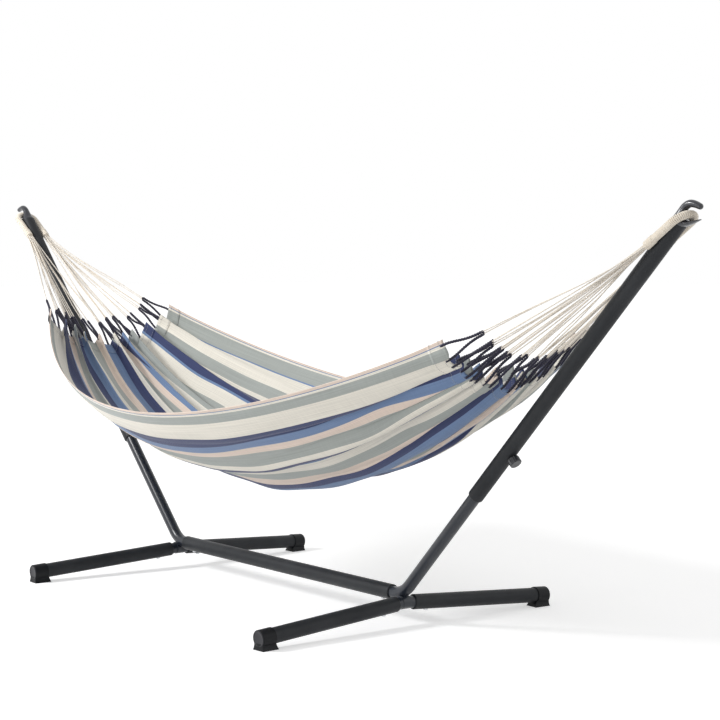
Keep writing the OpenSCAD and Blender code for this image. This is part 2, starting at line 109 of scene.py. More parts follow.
def makeCamera():
    yaw, pitch, roll = (math.radians(view[k]) for k in ("yaw", "pitch", "roll"))
    ahead = Vector((-math.sin(yaw) * math.cos(pitch), math.cos(yaw) * math.cos(pitch), math.sin(pitch)))
    right = ahead.cross(Vector((0, 0, 1))).normalized()
    up = right.cross(ahead)
    right, up = (right * math.cos(roll) + up * math.sin(roll), up * math.cos(roll) - right * math.sin(roll))
    data = bpy.data.cameras.new("camera")
    data.lens = view["lens"]
    data.sensor_width = 36
    camera = bpy.data.objects.new("camera", data)
    turn = Matrix((right, up, -ahead)).transposed().to_4x4()
    camera.matrix_world = Matrix.Translation(view["place"]) @ turn
    scene.collection.objects.link(camera)
    scene.camera = camera


studio = {
    "skyLight": 0.56, "skySeen": 1.0,
    "floorHalf": 30, "floorColour": 0.86, "floorSeen": (0.42, 0.64), "floorReach": (2.2, 5.5),
    "lamps": [  # place, aimed at, size, watts
        ("keyLamp", (-2.4, -4.6, 3.8), (0.0, 0.0, 0.8), 1.4, 222),
        ("lowLamp", (0.8, -6.8, 1.3), (0.2, 0.0, 0.7), 1.2, 54),
        ("sideLamp", (5.2, 2.6, 3.0), (0.2, 0.0, 0.9), 2.2, 22),
    ],
}


def seenRays(tree):  # 1 for rays that show a background, 0 for those that light the object
    path = tree.nodes.new("ShaderNodeLightPath")
    seen = mathNode(tree, "MAXIMUM", path.outputs["Is Camera Ray"], path.outputs["Is Glossy Ray"])
    return mathNode(tree, "MAXIMUM", seen, path.outputs["Is Transmission Ray"])


def makeWorld():  # one background lights the object, the other is only seen
    world = bpy.data.worlds.new("paleRoom")
    scene.world = world
    world.use_nodes = True
    nodes, links = world.node_tree.nodes, world.node_tree.links
    nodes.clear()
    mix = nodes.new("ShaderNodeMixShader")
    links.new(seenRays(world.node_tree), mix.inputs[0])
    for i, strength in ((1, studio["skyLight"]), (2, studio["skySeen"])):
        sky = nodes.new("ShaderNodeBackground")
        sky.inputs["Color"].default_value = (1, 1, 1, 1)
        sky.inputs["Strength"].default_value = strength
        links.new(sky.outputs[0], mix.inputs[i])
    links.new(mix.outputs[0], nodes.new("ShaderNodeOutputWorld").inputs[0])


def makeLamps():
    for name, place, aim, size, watts in studio["lamps"]:
        data = bpy.data.lights.new(name, "AREA")
        data.shape = "DISK"
        data.size = size
        data.energy = watts
        lamp = bpy.data.objects.new(name, data)
        lamp.location = place
        lamp.rotation_mode = "QUATERNION"
        lamp.rotation_quaternion = (Vector(aim) - Vector(place)).to_track_quat("-Z", "Y")
        scene.collection.objects.link(lamp)


def makeFloor():  # it keeps the shadow and runs out into the backdrop by a glow that only the eye sees
    w = studio["floorHalf"]
    mesh = bpy.data.meshes.new("floor")
    mesh.from_pydata([(-w, -w, 0), (w, -w, 0), (w, w, 0), (-w, w, 0)], [], [(0, 1, 2, 3)])
    mat = bpy.data.materials.new("paleFloor")
    mat.use_nodes = True
    tree = mat.node_tree
    shader = tree.nodes["Principled BSDF"]
    shader.inputs["Base Color"].default_value = (*[studio["floorColour"]] * 3, 1)
    shader.inputs["Roughness"].default_value = 0.9
    shader.inputs["Specular IOR Level"].default_value = 0.1
    shader.inputs["Emission Color"].default_value = (1, 1, 1, 1)
    away = tree.nodes.new("ShaderNodeVectorMath")
    away.operation = "LENGTH"
    tree.links.new(tree.nodes.new("ShaderNodeTexCoord").outputs["Object"], away.inputs[0])
    glow = spread(tree, away.outputs["Value"], *studio["floorSeen"], *studio["floorReach"])
    tree.links.new(mathNode(tree, "MULTIPLY", seenRays(tree), glow), shader.inputs["Emission Strength"])
    mesh.materials.append(mat)
    floor = bpy.data.objects.new("floor", mesh)
    scene.collection.objects.link(floor)


makeCamera()
makeWorld()
makeLamps()
makeFloor()
print("stage: camera and studio")


# shader groups shared by several materials

def newGroup(name, ins, outs):
    group = bpy.data.node_groups.new(name, "ShaderNodeTree")
    for label, kind, value in ins:
        socket = group.interface.new_socket(name=label, in_out="INPUT", socket_type=kind)
        if value is not None:
            socket.default_value = value
    for label, kind in outs:
        group.interface.new_socket(name=label, in_out="OUTPUT", socket_type=kind)
    return group, group.nodes.new("NodeGroupInput"), group.nodes.new("NodeGroupOutput")


def noise(tree, place, scale, detail, roughness=0.5):
    node = tree.nodes.new("ShaderNodeTexNoise")
    node.inputs["Detail"].default_value = detail
    node.inputs["Roughness"].default_value = roughness
    feed(tree, node.inputs["Vector"], place)
    feed(tree, node.inputs["Scale"], scale)
    return node.outputs["Fac"]


def grainGroup():  # fine bumps of a coated or moulded skin, and where they catch dust
    group, gi, go = newGroup("fineGrain", [
        ("Place", "NodeSocketVector", None), ("Grain Size", "NodeSocketFloat", 900.0),
        ("Patch Size", "NodeSocketFloat", 7.0)],
        [("Height", "NodeSocketFloat"), ("Patches", "NodeSocketFloat")])
    place = gi.outputs["Place"]
    fine = noise(group, place, gi.outputs["Grain Size"], 2.0)
    broad = noise(group, place, gi.outputs["Patch Size"], 5.0, 0.6)
    group.links.new(fine, go.inputs["Height"])
    group.links.new(broad, go.inputs["Patches"])
    return group


def weaveGroup():  # plain weave on a UV map in metres: thread height and thread to thread shade
    group, gi, go = newGroup("plainWeave", [
        ("Cloth", "NodeSocketVector", None), ("Threads Across", "NodeSocketFloat", 1100.0),
        ("Threads Along", "NodeSocketFloat", 800.0)],
        [("Height", "NodeSocketFloat"), ("Yarn Shade", "NodeSocketFloat"), ("Slub", "NodeSocketFloat")])
    split = group.nodes.new("ShaderNodeSeparateXYZ")
    group.links.new(gi.outputs["Cloth"], split.inputs[0])
    u = mathNode(group, "MULTIPLY", split.outputs[0], gi.outputs["Threads Across"])
    v = mathNode(group, "MULTIPLY", split.outputs[1], gi.outputs["Threads Along"])
    rib, pick = [mathNode(group, "ABSOLUTE", mathNode(group, "SINE", mathNode(group, "MULTIPLY", w, math.pi)))
                 for w in (u, v)]
    height = mathNode(group, "ADD", mathNode(group, "MULTIPLY", rib, 0.65),
                      mathNode(group, "MULTIPLY", pick, 0.35))
    group.links.new(height, go.inputs["Height"])
    # each yarn has its own shade along its length, and thick and thin places
    for label, crosswise, lengthwise, detail in (("Yarn Shade", 0.37, 0.004, 3.0),
                                                 ("Slub", 0.012, 0.25, 2.0)):
        join = group.nodes.new("ShaderNodeCombineXYZ")
        group.links.new(mathNode(group, "MULTIPLY", u, crosswise), join.inputs[0])
        group.links.new(mathNode(group, "MULTIPLY", v, lengthwise), join.inputs[1])
        group.links.new(noise(group, join.outputs[0], 1.0, detail), go.inputs[label])
    return group


fineGrain = grainGroup()
plainWeave = weaveGroup()


def newMaterial(name, rough, metal=0.0, **fixed):
    mat = bpy.data.materials.new(name)
    mat.use_nodes = True
    tree = mat.node_tree
    shader = tree.nodes["Principled BSDF"]
    shader.inputs["Roughness"].default_value = rough
    shader.inputs["Metallic"].default_value = metal
    for key, value in fixed.items():
        shader.inputs[key.replace("_", " ")].default_value = value
    return mat, tree, shader


def useGroup(tree, group, place, **values):
    node = tree.nodes.new("ShaderNodeGroup")
    node.node_tree = group
    tree.links.new(place, node.inputs[0])
    for key, value in values.items():
        node.inputs[key.replace("_", " ")].default_value = value
    return node


def skinOf(tree, grain, patch):
    place = tree.nodes.new("ShaderNodeTexCoord").outputs["Object"]
    return useGroup(tree, fineGrain, place, Grain_Size=grain, Patch_Size=patch)


def blendColour(tree, fac, a, b, kind="MIX"):
    node = tree.nodes.new("ShaderNodeMix")
    node.data_type = "RGBA"
    node.blend_type = kind
    for label, value in (("Factor", fac), ("A", a), ("B", b)):
        feed(tree, node.inputs[label], value)
    return node.outputs["Result"]


def bump(tree, shader, height, strength, distance):
    node = tree.nodes.new("ShaderNodeBump")
    node.inputs["Strength"].default_value = strength
    node.inputs["Distance"].default_value = distance
    tree.links.new(height, node.inputs["Height"])
    tree.links.new(node.outputs[0], shader.inputs["Normal"])


def linear(*rgb):  # from 0..255 as seen on a screen, with an alpha of 1
    return (*[c / 255 / 12.92 if c <= 10.31 else ((c / 255 + 0.055) / 1.055) ** 2.4 for c in rgb], 1)


coats = {  # name: dark patch, light patch, roughness low and high, grain size, bump depth, coat, shine
    "powderCoat": ((35, 37, 40), (49, 51, 54), 0.42, 0.52, 1500.0, 0.00025, 0.0, 0.2),
    "innerTubeCoat": ((26, 30, 38), (38, 43, 52), 0.28, 0.38, 900.0, 0.00006, 0.3, 0.35),
    "hookCasting": ((17, 20, 28), (28, 32, 43), 0.22, 0.32, 300.0, 0.00003, 0.4, 0.5),
    "footPlastic": ((11, 13, 16), (20, 22, 26), 0.40, 0.50, 1100.0, 0.00010, 0.0, 0.2),
    # the foot ends: the feet's dark plastic painted lighter, a painted highlight for the end disc that faces
    # the lamps
    "footEndPaintedLight": ((42, 42, 46), (54, 54, 59), 0.34, 0.44, 900.0, 0.00004, 0.1, 0.2),
    "knobPlastic": ((28, 30, 35), (42, 45, 51), 0.20, 0.30, 500.0, 0.00003, 0.4, 0.45),
    "bushPlastic": ((20, 20, 22), (30, 30, 33), 0.40, 0.50, 900.0, 0.00010, 0.0, 0.3),
}


def coatMaterial(name):
    dark, light, low, high, grain, depth, coat, shine = coats[name]
    mat, tree, shader = newMaterial(name, low, Coat_Weight=coat, Coat_Roughness=0.2, Specular_IOR_Level=shine)
    skin = skinOf(tree, grain, 5.0)
    colour = blendColour(tree, spread(tree, skin.outputs["Patches"], 0, 1), linear(*dark), linear(*light))
    tree.links.new(colour, shader.inputs["Base Color"])
    tree.links.new(spread(tree, skin.outputs["Patches"], high, low), shader.inputs["Roughness"])
    bump(tree, shader, skin.outputs["Height"], 0.5, depth)
    return mat


def zincMaterial():
    mat, tree, shader = newMaterial("zinc", 0.3, metal=1.0)
    skin = skinOf(tree, 2500.0, 120.0)
    colour = blendColour(tree, spread(tree, skin.outputs["Patches"], 0, 1), linear(172, 175, 180),
                         linear(226, 228, 230))
    tree.links.new(colour, shader.inputs["Base Color"])
    tree.links.new(spread(tree, skin.outputs["Patches"], 0.24, 0.42), shader.inputs["Roughness"])
    bump(tree, shader, skin.outputs["Height"], 0.3, 0.00005)
    return mat


stripes = {  # from the front edge to the rear one: colour name and width in millimetres
    "colours": {"cream": (241, 236, 224), "peach": (236, 218, 204), "grey": (173, 178, 174),
                "navy": (64, 73, 112), "sky": (118, 142, 180)},
    "front": [("peach", 10), ("sky", 3), ("cream", 9), ("grey", 34), ("cream", 76), ("navy", 58), ("sky", 42),
              ("peach", 36), ("grey", 68), ("cream", 30), ("navy", 30), ("sky", 46), ("cream", 44),
              ("grey", 50), ("peach", 50), ("navy", 30), ("sky", 50), ("navy", 44)],
    "rear": [("cream", 24), ("grey", 56), ("peach", 30), ("sky", 40), ("navy", 30), ("cream", 50),
             ("grey", 84), ("cream", 70), ("sky", 12), ("navy", 50), ("cream", 30), ("grey", 60),
             ("cream", 78), ("sky", 8), ("grey", 66), ("cream", 9), ("sky", 3), ("peach", 10)],
    "threadsAcross": 1100.0, "threadsAlong": 760.0,
}


def stripeRamp(tree, place, bands, start):  # one half of the cloth's width
    ramp = tree.nodes.new("ShaderNodeValToRGB")
    ramp.color_ramp.interpolation = "CONSTANT"
    total = sum(width for name, width in bands)
    share = spread(tree, place, 0, 1, start, start + total / 1000)
    tree.links.new(share, ramp.inputs[0])
    stops, at = ramp.color_ramp.elements, 0
    stops.remove(stops[1])
    for i, (name, width) in enumerate(bands):
        stop = stops.new(at / total) if i else stops[0]
        stop.color = linear(*stripes["colours"][name])
        at += width
    return ramp.outputs[0]


def fabricMaterial():  # lengthwise stripes from the cloth's own UV map, in metres
    mat, tree, shader = newMaterial("stripedFabric", 0.85, Sheen_Weight=0.25, Sheen_Roughness=0.5,
                                    Specular_IOR_Level=0.25)
    uv = tree.nodes.new("ShaderNodeUVMap")
    uv.uv_map = "cloth"
    split = tree.nodes.new("ShaderNodeSeparateXYZ")
    tree.links.new(uv.outputs[0], split.inputs[0])
    weave = useGroup(tree, plainWeave, uv.outputs[0], Threads_Across=stripes["threadsAcross"],
                     Threads_Along=stripes["threadsAlong"])
    half = sum(width for name, width in stripes["front"]) / 1000
    front = stripeRamp(tree, split.outputs[0], stripes["front"], 0.0)
    rear = stripeRamp(tree, split.outputs[0], stripes["rear"], half)
    colour = blendColour(tree, mathNode(tree, "GREATER_THAN", split.outputs[0], half), front, rear)
    shade = spread(tree, weave.outputs["Yarn Shade"], 0.86, 1.07)
    slub = spread(tree, weave.outputs["Slub"], 0.97, 1.03)
    both = mathNode(tree, "MULTIPLY", shade, slub)
    grey = tree.nodes.new("ShaderNodeCombineColor")
    for i in range(3):
        tree.links.new(both, grey.inputs[i])
    colour = blendColour(tree, 1.0, colour, grey.outputs[0], "MULTIPLY")
    tree.links.new(colour, shader.inputs["Base Color"])
    bump(tree, shader, weave.outputs["Height"], 0.45, 0.0003)
    return mat


cords = {  # name: dark, light, roughness, fibre scale
    "wrappedRope": ((232, 220, 203), (250, 243, 230), 0.82, 1500.0),
    "cottonCord": ((236, 225, 210), (251, 246, 237), 0.85, 1800.0),
    "whippingCord": ((9, 7, 26), (27, 24, 62), 0.55, 1800.0),
    "hemThread": ((150, 152, 154), (186, 186, 184), 0.7, 2500.0),
    "labelFabric": ((14, 14, 16), (28, 28, 31), 0.75, 2200.0),
}


def cordMaterial(name):
    dark, light, rough, fibre = cords[name]
    mat, tree, shader = newMaterial(name, rough, Sheen_Weight=0.2, Sheen_Roughness=0.6,
                                    Specular_IOR_Level=0.3)
    skin = skinOf(tree, fibre, 60.0)
    fac = mathNode(tree, "MULTIPLY_ADD", skin.outputs["Height"], 0.6,
                   mathNode(tree, "MULTIPLY", skin.outputs["Patches"], 0.4))
    colour = blendColour(tree, spread(tree, fac, 0, 1, 0.35, 0.65), linear(*dark), linear(*light))
    tree.links.new(colour, shader.inputs["Base Color"])
    bump(tree, shader, skin.outputs["Height"], 0.6, 0.0004)
    return mat


materials = {name: coatMaterial(name) for name in coats}
materials["zinc"] = zincMaterial()
materials["stripedFabric"] = fabricMaterial()
materials.update({name: cordMaterial(name) for name in cords})
print("stage: materials")


# dress the steel and plastic pieces of the stand

def dress(material, *nodes):
    for node in nodes:
        piece = bpy.data.objects[node]
        piece.data.materials.clear()
        piece.data.materials.append(materials[material])


dress("powderCoat", "base_beam", *[f"{s}_upper_arm" for s in sides],
      *[f"{s}_{f}_leg" for s in sides for f in ("front", "rear")])
dress("innerTubeCoat", *[f"{s}_lower_arm" for s in sides], *[f"{s}_cross_stub" for s in sides])
dress("footPlastic", *[f"{s}_{f}_foot" for s in sides for f in ("front", "rear")])
dress("knobPlastic", *[f"{s}_clamp_knob" for s in sides])
dress("bushPlastic", *[f"{s}_guide_bush" for s in sides])
dress("zinc", "leg_screws", "leg_nuts", "beam_screws", "beam_nuts", *[f"{s}_clamp_insert" for s in sides])
print("stage: stand dressed")


# helpers for meshes

def meshPiece(name, points, faces, material, uv=None):
    mesh = bpy.data.meshes.new(name)
    mesh.from_pydata([tuple(map(float, p)) for p in points], [], [tuple(map(int, f)) for f in faces])
    if uv is not None:
        layer = mesh.uv_layers.new(name="cloth")
        spots = np.array([uv[mesh.loops[i].vertex_index] for i in range(len(mesh.loops))], np.float32)
        layer.data.foreach_set("uv", spots.ravel())
    mesh.materials.append(materials[material])
    mesh.polygons.foreach_set("use_smooth", [True] * len(mesh.polygons))
    piece = bpy.data.objects.new(name, mesh)
    scene.collection.objects.link(piece)
    return piece


def gridFaces(rows, cols):
    i, j = np.meshgrid(np.arange(rows - 1), np.arange(cols - 1), indexing="ij")
    a = (i * cols + j).ravel()
    return np.stack([a, a + cols, a + cols + 1, a + 1], 1)


def ringFaces(base, rings, count):  # quads between rings of points that start at number base
    return [(base + i * count + j, base + i * count + (j + 1) % count,
             base + (i + 1) * count + (j + 1) % count, base + (i + 1) * count + j)
            for i in range(rings - 1) for j in range(count)]


def faceOutwards(piece, lastRing=0):  # closes the last ring of points if asked
    shape = bmesh.new()
    shape.from_mesh(piece.data)
    if lastRing:
        shape.faces.new(list(shape.verts)[-lastRing:])
    bmesh.ops.recalc_face_normals(shape, faces=shape.faces)
    shape.to_mesh(piece.data)
    shape.free()


def asMesh(piece, name):  # the evaluated shape as a plain mesh in a new object
    depsgraph = bpy.context.evaluated_depsgraph_get()
    mesh = bpy.data.meshes.new_from_object(piece.evaluated_get(depsgraph), depsgraph=depsgraph)
    mesh.name = name
    result = bpy.data.objects.new(name, mesh)
    scene.collection.objects.link(result)
    old = piece.data
    bpy.data.objects.remove(piece)
    if isinstance(old, bpy.types.Curve):
        bpy.data.curves.remove(old)
    else:
        bpy.data.meshes.remove(old)
    result.name = mesh.name = name
    return result


def pathsObject(name, paths):  # open poly splines, one for each path
    data = bpy.data.curves.new(name, "CURVE")
    data.dimensions = "3D"
    for path in paths:
        spline = data.splines.new("POLY")
        spline.points.add(len(path) - 1)
        spots = np.hstack([path, np.ones((len(path), 1))])
        spline.points.foreach_set("co", spots.astype(np.float32).ravel())
    piece = bpy.data.objects.new(name, data)
    scene.collection.objects.link(piece)
    return piece


def newTree(name, ins):
    tree = bpy.data.node_groups.new(name, "GeometryNodeTree")
    tree.is_modifier = True
    tree.interface.new_socket(name="Geometry", in_out="INPUT", socket_type="NodeSocketGeometry")
    for label, kind, value in ins:
        socket = tree.interface.new_socket(name=label, in_out="INPUT", socket_type=kind)
        if value is not None:
            socket.default_value = value
    tree.interface.new_socket(name="Geometry", in_out="OUTPUT", socket_type="NodeSocketGeometry")
    return tree, tree.nodes.new("NodeGroupInput"), tree.nodes.new("NodeGroupOutput")


def runTree(piece, tree, name, **values):
    change = piece.modifiers.new(tree.name, "NODES")
    change.node_group = tree
    known = {s.name: s.identifier for s in tree.interface.items_tree if s.in_out == "INPUT"}
    for key, value in values.items():
        change[known[key.replace("_", " ")]] = value
    return asMesh(piece, name)


def evenCurve(tree, gi, length):  # the paths with points this far apart
    node = tree.nodes.new("GeometryNodeResampleCurve")
    node.mode = "LENGTH"
    tree.links.new(gi.outputs["Geometry"], node.inputs["Curve"])
    tree.links.new(length, node.inputs["Length"])
    return node.outputs[0]


def roundSection(tree, gi, radius):
    node = tree.nodes.new("GeometryNodeCurvePrimitiveCircle")
    tree.links.new(gi.outputs["Sides"], node.inputs["Resolution"])
    tree.links.new(radius, node.inputs["Radius"])
    return node.outputs[0]


def copiesOn(tree, points, shape):
    node = tree.nodes.new("GeometryNodeInstanceOnPoints")
    tree.links.new(points, node.inputs["Points"])
    tree.links.new(shape, node.inputs["Instance"])
    return node


def sweep(tree, curve, section):
    tube = tree.nodes.new("GeometryNodeCurveToMesh")
    tube.inputs["Fill Caps"].default_value = True
    tree.links.new(curve, tube.inputs["Curve"])
    tree.links.new(section, tube.inputs["Profile Curve"])
    soft = tree.nodes.new("GeometryNodeSetShadeSmooth")
    tree.links.new(tube.outputs[0], soft.inputs[0])
    return soft.outputs[0]


def realize(tree, shape):
    node = tree.nodes.new("GeometryNodeRealizeInstances")
    tree.links.new(shape, node.inputs[0])
    return node.outputs[0]


def endTree(tree, gi, go, shape):
    paint = tree.nodes.new("GeometryNodeSetMaterial")
    tree.links.new(realize(tree, shape), paint.inputs["Geometry"])
    tree.links.new(gi.outputs["Material"], paint.inputs["Material"])
    tree.links.new(paint.outputs[0], go.inputs[0])
    return tree


def turnsAlong(tree, length):  # angle that grows by a full turn on each such length of the path
    spline = tree.nodes.new("GeometryNodeSplineParameter")
    return mathNode(tree, "MULTIPLY", mathNode(tree, "DIVIDE", spline.outputs["Length"], length), 2 * math.pi)


def plyTree():  # strands twisted round each path
    tree, gi, go = newTree("twistedCord", [
        ("Strands", "NodeSocketInt", 2), ("Strand Radius", "NodeSocketFloat", 0.001),
        ("Strand Offset", "NodeSocketFloat", 0.001), ("Twist Length", "NodeSocketFloat", 0.03),
        ("Step", "NodeSocketFloat", 0.004), ("Sides", "NodeSocketInt", 6),
        ("Material", "NodeSocketMaterial", None)])
    tilt = tree.nodes.new("GeometryNodeSetCurveTilt")
    tree.links.new(evenCurve(tree, gi, gi.outputs["Step"]), tilt.inputs["Curve"])
    tree.links.new(turnsAlong(tree, gi.outputs["Twist Length"]), tilt.inputs["Tilt"])
    ring = tree.nodes.new("GeometryNodeMeshCircle")
    tree.links.new(gi.outputs["Strands"], ring.inputs["Vertices"])
    tree.links.new(gi.outputs["Strand Offset"], ring.inputs["Radius"])
    strand = roundSection(tree, gi, gi.outputs["Strand Radius"])
    section = realize(tree, copiesOn(tree, ring.outputs[0], strand).outputs[0])
    return endTree(tree, gi, go, sweep(tree, tilt.outputs[0], section))


def windTree():  # thin cord wound tightly round each path
    tree, gi, go = newTree("woundCord", [
        ("Winding Radius", "NodeSocketFloat", 0.009), ("Cord Radius", "NodeSocketFloat", 0.003),
        ("Pitch", "NodeSocketFloat", 0.006), ("Points Per Turn", "NodeSocketInt", 18),
        ("Sides", "NodeSocketInt", 6), ("Material", "NodeSocketMaterial", None)])
    nodes, links = tree.nodes, tree.links
    pitch = gi.outputs["Pitch"]
    even = evenCurve(tree, gi, mathNode(tree, "DIVIDE", pitch, gi.outputs["Points Per Turn"]))
    normal = nodes.new("GeometryNodeInputNormal").outputs[0]
    cross = nodes.new("ShaderNodeVectorMath")
    cross.operation = "CROSS_PRODUCT"
    links.new(nodes.new("GeometryNodeInputTangent").outputs[0], cross.inputs[0])
    links.new(normal, cross.inputs[1])
    angle = turnsAlong(tree, pitch)
    add = nodes.new("ShaderNodeVectorMath")
    add.operation = "ADD"
    for i, (kind, source) in enumerate((("COSINE", normal), ("SINE", cross.outputs[0]))):
        scale = nodes.new("ShaderNodeVectorMath")
        scale.operation = "SCALE"
        links.new(source, scale.inputs[0])
        links.new(mathNode(tree, "MULTIPLY", mathNode(tree, kind, angle), gi.outputs["Winding Radius"]),
                  scale.inputs["Scale"])
        links.new(scale.outputs[0], add.inputs[i])
    move = nodes.new("GeometryNodeSetPosition")
    links.new(even, move.inputs["Geometry"])
    links.new(add.outputs[0], move.inputs["Offset"])
    strand = roundSection(tree, gi, gi.outputs["Cord Radius"])
    return endTree(tree, gi, go, sweep(tree, move.outputs[0], strand))


def stitchTree():  # one short stitch at every step of each path
    tree, gi, go = newTree("stitchRow", [
        ("Stitch Length", "NodeSocketFloat", 0.004), ("Thread Radius", "NodeSocketFloat", 0.0006),
        ("Step", "NodeSocketFloat", 0.007), ("Material", "NodeSocketMaterial", None)])
    nodes, links = tree.nodes, tree.links
    points = nodes.new("GeometryNodeCurveToPoints")
    points.mode = "LENGTH"
    links.new(gi.outputs["Geometry"], points.inputs["Curve"])
    links.new(gi.outputs["Step"], points.inputs["Length"])
    thread = nodes.new("GeometryNodeMeshUVSphere")
    thread.inputs["Segments"].default_value = 6
    thread.inputs["Rings"].default_value = 4
    links.new(gi.outputs["Thread Radius"], thread.inputs["Radius"])
    stretch = nodes.new("ShaderNodeCombineXYZ")
    stretch.inputs[0].default_value = 1
    stretch.inputs[1].default_value = 1
    longer = mathNode(tree, "DIVIDE", gi.outputs["Stitch Length"], gi.outputs["Thread Radius"])
    links.new(mathNode(tree, "MULTIPLY", longer, 0.5), stretch.inputs[2])
    put = copiesOn(tree, points.outputs["Points"], thread.outputs[0])
    links.new(points.outputs["Rotation"], put.inputs["Rotation"])
    links.new(stretch.outputs[0], put.inputs["Scale"])
    return endTree(tree, gi, go, put.outputs[0])


twistedCord = plyTree()
woundCord = windTree()
stitchRow = stitchTree()
print("stage: node trees")


# the hooks: a round horn bent over the gap and a pointed lip under it

hookForm = {
    "lean": math.radians(46.2), "foot": (0.656, 0.098), "armEnd": 1.666, "slant": math.radians(21.8),
    # out from the arm's axis, along it from the tube's end, half the thickness, half the width, in mm
    "collar": [(0, 0.1, 26.9, 25.1), (0, 2.6, 26.9, 25.1), (0, 3.7, 26.6, 24.8), (0, 4.3, 25.9, 24.1)],
    "horn": [(-0.5, 3.0, 25.6, 24.0), (-3.2, 9.0, 22.0, 21.2), (-7.6, 18.0, 17.2, 17.0),
             (-11.4, 29.0, 13.5, 13.6), (-13.2, 42.4, 11.7, 11.8), (-10.2, 54.5, 11.2, 11.3),
             (-3.4, 64.6, 10.7, 11.0), (9.6, 73.6, 9.9, 10.3), (24.5, 80.4, 8.8, 9.0)],
    "lip": [(6, 4, 17, 23.5), (15, 11, 13.0, 21.5), (26.5, 20.5, 7.8, 17.5), (36.5, 33.5, 4.8, 13),
            (45, 47, 2.6, 8.5), (50.6, 56, 1.4, 4.5)],
    "spigot": [(0, -60, 22.6, 22.6), (0, 1, 22.6, 22.6)],
    "turnFrom": 3, "turnTo": 26,  # where along the arm the horn leaves the slant of the tube's mouth
    "sides": 56, "rings": 60, "sharpAngle": math.radians(50),
}


def throughPoints(points, count):  # a smooth run through rows of values
    points = np.asarray(points, float)
    slope = np.gradient(points, axis=0)
    t = np.linspace(0, len(points) - 1, count)
    i = np.minimum(t.astype(int), len(points) - 2)
    t = (t - i)[:, None]
    a, b, da, db = points[i], points[i + 1], slope[i], slope[i + 1]
    return ((2 * t ** 3 - 3 * t * t + 1) * a + (t ** 3 - 2 * t * t + t) * da
            + (3 * t * t - 2 * t ** 3) * b + (t ** 3 - t * t) * db)


def hookShell(kind):  # one rounded body, in metres: out, width, along
    rows = hookForm[kind]
    run = throughPoints(rows, len(rows) if kind in ("collar", "spigot") else hookForm["rings"])
    ahead = unit(np.gradient(run[:, :2], axis=0))
    slanted = np.array([-math.sin(hookForm["slant"]), math.cos(hookForm["slant"])])
    if kind == "collar":
        ahead[:] = slanted
    elif kind == "horn":
        share = smooth(hookForm["turnFrom"], hookForm["turnTo"], run[:, 1])[:, None]
        ahead = unit(slanted * (1 - share) + ahead * share)
    if kind in ("horn", "lip"):  # round off the tip
        w = np.linspace(0, 1.5, 9)[1:, None]
        last = run[-1]
        cap = np.hstack([last[:2] + ahead[-1] * last[2] * np.sin(w), last[2] * np.cos(w),
                         last[3] * np.cos(w)])
        run, ahead = np.vstack([run, cap]), np.vstack([ahead, np.repeat(ahead[-1:], len(w), 0)])
    w = np.linspace(0, 2 * math.pi, hookForm["sides"], endpoint=False)
    flat = np.stack([ahead[:, 1], -ahead[:, 0]], 1)
    plane = run[:, None, :2] + (run[:, 2:3] * np.cos(w))[:, :, None] * flat[:, None, :]
    width = run[:, 3:4] * np.sin(w)
    return np.stack([plane[..., 0], width, plane[..., 1]], -1) / 1000


def makeHook(side, sign):
    points, faces = [], []
    c, s = math.cos(hookForm["lean"]), math.sin(hookForm["lean"])
    for kind in ("collar", "horn", "lip", "spigot"):
        rings = hookShell(kind)
        n, m = rings.shape[:2]
        base = len(points)
        along = hookForm["armEnd"] + rings[..., 2]
        out = rings[..., 0]
        world = np.stack([sign * (hookForm["foot"][0] + along * c + out * s), rings[..., 1],
                          hookForm["foot"][1] + along * s - out * c], -1)
        points += list(world.reshape(-1, 3))
        faces += ringFaces(base, n, m)
        faces += [tuple(base + j for j in reversed(range(m))),
                  tuple(base + (n - 1) * m + j for j in range(m))]
    piece = meshPiece(f"{side}HookCasting", points, faces, "hookCasting")
    faceOutwards(piece)
    piece.data.set_sharp_from_angle(angle=hookForm["sharpAngle"])
    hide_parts(f"{side}_hook")
    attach(piece, f"{side}_arm")


for side, sign in sides.items():
    makeHook(side, sign)
print("stage: hooks")


# the rimmed round end of each foot

footEnd = {
    "hub": (0.660, 0.073), "reach": 0.602, "droop": math.radians(3.6), "splay": math.radians(3.2),
    # radius and height over the foot's end, in mm
    "profile": [(0, 0.7), (19.0, 0.7), (20.6, 1.0), (21.6, 1.7), (23.4, 1.8), (24.6, 1.3),
                (25.0, 0.4), (25.0, -0.4)],
    "sides": 64,
}


def makeFootEnd(side, sign, row, turn):
    d, s = footEnd["droop"], footEnd["splay"]
    ahead = np.array([sign * math.cos(d) * math.sin(s), turn * math.cos(d) * math.cos(s), -math.sin(d)])
    level = unit(np.cross(ahead, [0, 0, 1]))
    up = np.cross(level, ahead)
    centre = np.array([sign * footEnd["hub"][0], 0, footEnd["hub"][1]]) + footEnd["reach"] * ahead
    profile, count = footEnd["profile"], footEnd["sides"]
    points = [centre + ahead * profile[0][1] / 1000]
    for r, h in profile[1:]:
        points += [centre + (r * (math.cos(a) * level + math.sin(a) * up) + h * ahead) / 1000
                   for a in np.linspace(0, 2 * math.pi, count, endpoint=False)]
    faces = [(0, 1 + (j + 1) % count, 1 + j) for j in range(count)] + ringFaces(1, len(profile) - 1, count)
    # the end disc is painted lighter than the foot, as painted light where it faces the lamps
    piece = meshPiece(f"{side}{row.capitalize()}FootEnd", points, faces, "footEndPaintedLight")
    faceOutwards(piece, count)
    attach(piece, "base")


for side, sign in sides.items():
    for row, turn in (("front", -1), ("rear", 1)):
        makeFootEnd(side, sign, row, turn)
print("stage: foot ends")


# the cloth: a long hollow with folds that open out from each hem

